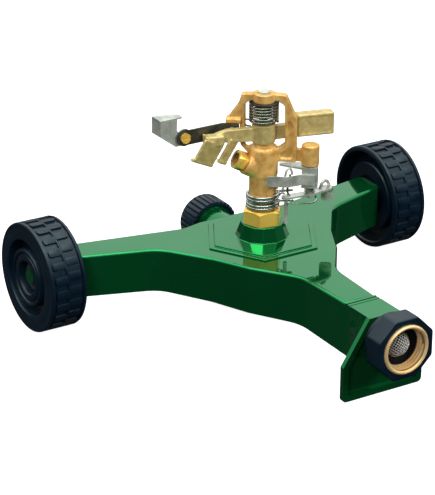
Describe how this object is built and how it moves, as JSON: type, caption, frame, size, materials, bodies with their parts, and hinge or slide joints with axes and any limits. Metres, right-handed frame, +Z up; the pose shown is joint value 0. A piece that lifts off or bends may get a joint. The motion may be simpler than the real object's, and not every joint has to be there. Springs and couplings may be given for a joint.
{
  "type": "impulse sprinkler",
  "caption": "Impact sprinkler with a part-circle brass head on a green cast base with wheels, a hose swivel inlet and a capped through outlet.",
  "frame": {"origin": "on the ground, under the middle of the whole sprinkler's bounding box", "axes": "+Z up; -Y toward the hose inlet and foot; +X along the wheel axles"},
  "size_m": [0.2826, 0.2436, 0.1488],
  "materials": {
    "green_enamel": "gloss baked enamel on a die casting",
    "cast_brass": "sand-cast brass, lightly tumbled",
    "bright_brass": "machined brass, polished",
    "arm_brass": "olive-gold plated casting",
    "steel_sheet": "bright stainless sheet",
    "steel_wire": "bright drawn wire",
    "dark_steel": "darkened steel",
    "black_plastic": "moulded black plastic with a soft sheen",
    "washer_rubber": "moulded rubber"
  },
  "bodies": {
    "base": {"base_casting": "green_enamel", "inlet_stem": "bright_brass", "bearing_nipple": "bright_brass", "wheel_retainer_left": "dark_steel", "wheel_retainer_right": "dark_steel"},
    "left_wheel": {"wheel_left": "black_plastic"},
    "right_wheel": {"wheel_right": "black_plastic"},
    "hose_swivel": {"inlet_swivel_nut": "bright_brass", "inlet_grip_sleeve": "black_plastic", "inlet_washer": "washer_rubber", "inlet_screen": "steel_wire"},
    "cap": {"outlet_cap": "black_plastic", "outlet_cap_washer": "washer_rubber"},
    "lower_collar": {"friction_collar_lower": "steel_wire"},
    "upper_collar": {"friction_collar_upper": "steel_wire"},
    "head": {"bearing_stem": "bright_brass", "bearing_washers": "washer_rubber", "bearing_spring": "steel_wire", "body_casting": "cast_brass", "range_nozzle": "bright_brass", "fulcrum_pin": "steel_sheet", "spring_cup": "dark_steel", "arm_spring": "steel_wire", "diffuser_bar": "dark_steel", "diffuser_rivet": "steel_sheet", "diffuser_screw": "bright_brass", "diffuser_nut": "bright_brass", "trip_pin": "steel_sheet", "trip_clip": "steel_sheet", "trip_spring": "steel_wire"},
    "arm": {"impact_arm": "arm_brass"},
    "flap": {"diffuser_flap": "steel_sheet"},
    "reverser": {"reverse_bracket": "steel_sheet", "reverse_leaf": "steel_sheet"},
    "trip": {"trip_lever": "steel_sheet", "trip_rod": "steel_sheet", "trip_rivet": "steel_sheet"}
  },
  "joints": [
    {"name": "left_wheel_spin", "type": "hinge", "parent": "base", "child": "left_wheel", "pos_m": [-0.12867, 0.08676, 0.035], "axis": [1, 0, 0], "continuous": true},
    {"name": "right_wheel_spin", "type": "hinge", "parent": "base", "child": "right_wheel", "pos_m": [0.12867, 0.08676, 0.035], "axis": [1, 0, 0], "continuous": true},
    {"name": "hose_swivel_spin", "type": "hinge", "parent": "base", "child": "hose_swivel", "pos_m": [0, -0.11489, 0.03734], "axis": [0, 1, 0], "continuous": true},
    {"name": "cap_off", "type": "slide", "parent": "base", "child": "cap", "axis": [0, 1, 0], "range_m": [0, 0.02]},
    {"name": "lower_collar_turn", "type": "hinge", "parent": "base", "child": "lower_collar", "pos_m": [0, 0.03511, 0.073], "axis": [0, 0, 1], "range_deg": [-12, 300]},
    {"name": "upper_collar_turn", "type": "hinge", "parent": "base", "child": "upper_collar", "pos_m": [0, 0.03511, 0.078], "axis": [0, 0, 1], "range_deg": [-20, 290]},
    {"name": "head_turn", "type": "hinge", "parent": "base", "child": "head", "pos_m": [0, 0.03511, 0.08], "axis": [0, 0, 1], "range_deg": [-280, 15]},
    {"name": "arm_swing", "type": "hinge", "parent": "head", "child": "arm", "pos_m": [0, 0.03511, 0.12], "axis": [0, 0, 1], "range_deg": [0, 110], "stiffness_Nm_per_rad": 0.02, "springref_deg": -34.38, "deforming": ["arm_spring"]},
    {"name": "flap_tilt", "type": "hinge", "parent": "head", "child": "flap", "pos_m": [-0.0496, 0.04828, 0.1233], "axis": [0, 1, 0], "range_deg": [-35, 15]},
    {"name": "trip_swing", "type": "hinge", "parent": "head", "child": "trip", "pos_m": [0.0234, 0.01748, 0.081], "axis": [0, 0, 1], "range_deg": [0, 16], "deforming": ["trip_spring"]},
    {"name": "reverser_swing", "type": "hinge", "parent": "head", "child": "reverser", "pos_m": [0.0234, 0.01748, 0.09], "axis": [0, 0, 1], "range_deg": [0, 14]}
  ],
  "couplings": [
    {"joint": "reverser_swing", "follows": "trip_swing", "ratio": 0.875}
  ]
}
